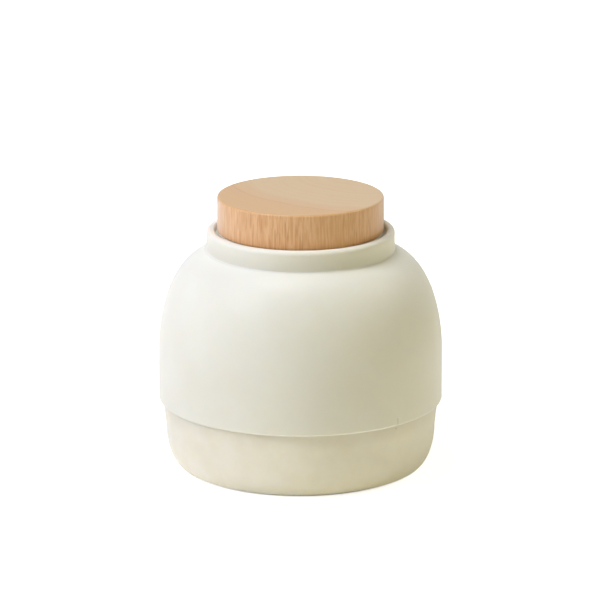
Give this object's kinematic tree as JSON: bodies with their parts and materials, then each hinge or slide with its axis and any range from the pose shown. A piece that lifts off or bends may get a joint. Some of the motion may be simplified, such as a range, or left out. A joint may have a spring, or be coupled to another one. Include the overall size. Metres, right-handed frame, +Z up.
{
  "type": "wet wipe case",
  "caption": "Round wet wipe case with a domed cover and neck, a cup base, a slit silicone outlet and a lift-out wooden lid; it opens at the waist for refills.",
  "frame": {"origin": "on the floor under the case's axis, at the middle of the four feet", "axes": "+Z up along the case's axis, in which the lid and the cover lift; -Y faces the picture's camera, and the seam's small mark lies 47.7 degrees below +X, seen from above"},
  "size_m": [0.147, 0.147, 0.143],
  "materials": {
    "rubberwood": "fine sanded, matt oil",
    "ivory_plastic": "fine matt texture",
    "cream_plastic": "fine matt texture, slightly mottled",
    "white_plastic": "satin moulded",
    "clear_silicone": "milky, satin",
    "grey_silicone": "matt",
    "stainless_steel": "satin"
  },
  "bodies": {
    "base": {"base_cup": "cream_plastic", "body_gasket": "clear_silicone", "foot_pad_1": "grey_silicone", "foot_pad_2": "grey_silicone", "foot_pad_3": "grey_silicone", "foot_pad_4": "grey_silicone"},
    "cover": {"dome_cover": "ivory_plastic", "outlet_diaphragm": "clear_silicone", "outlet_clamp_ring": "white_plastic"},
    "lid": {"wooden_lid": "rubberwood", "lid_plug": "white_plastic", "lid_gasket": "clear_silicone", "lid_screw_1": "stainless_steel", "lid_screw_2": "stainless_steel", "lid_screw_3": "stainless_steel"}
  },
  "joints": [
    {"name": "cover_lift", "type": "slide", "parent": "base", "child": "cover", "axis": [0, 0, 1], "range_m": [0, 0.11]},
    {"name": "lid_lift", "type": "slide", "parent": "cover", "child": "lid", "axis": [0, 0, 1], "range_m": [0, 0.06]}
  ]
}
